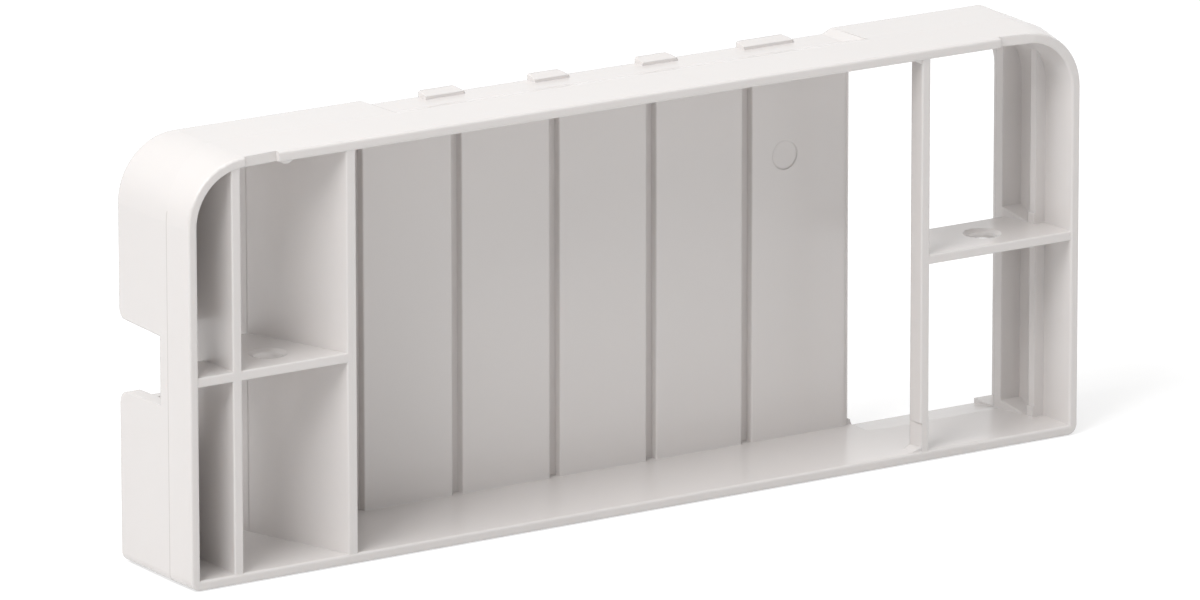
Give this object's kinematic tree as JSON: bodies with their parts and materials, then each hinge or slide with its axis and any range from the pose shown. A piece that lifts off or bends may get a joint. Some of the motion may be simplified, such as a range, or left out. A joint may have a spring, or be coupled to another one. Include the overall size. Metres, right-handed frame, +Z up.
{
  "type": "moulded plastic housing",
  "caption": "One-piece moulded plastic housing frame with a slatted back wall, open side bays, screw shelves and a cable notch.",
  "frame": {"origin": "middle of the sole: centre of the bounding box in X and Y, at its lowest Z", "axes": "+X along the long side towards the open window bay, -Y out of the open front, +Z up from the sole"},
  "size_m": [0.2204, 0.0278, 0.0893],
  "materials": {
    "housing": "smooth moulded off-white plastic, semi-gloss"
  },
  "bodies": {
    "root": {"housing": "housing"}
  },
  "joints": []
}
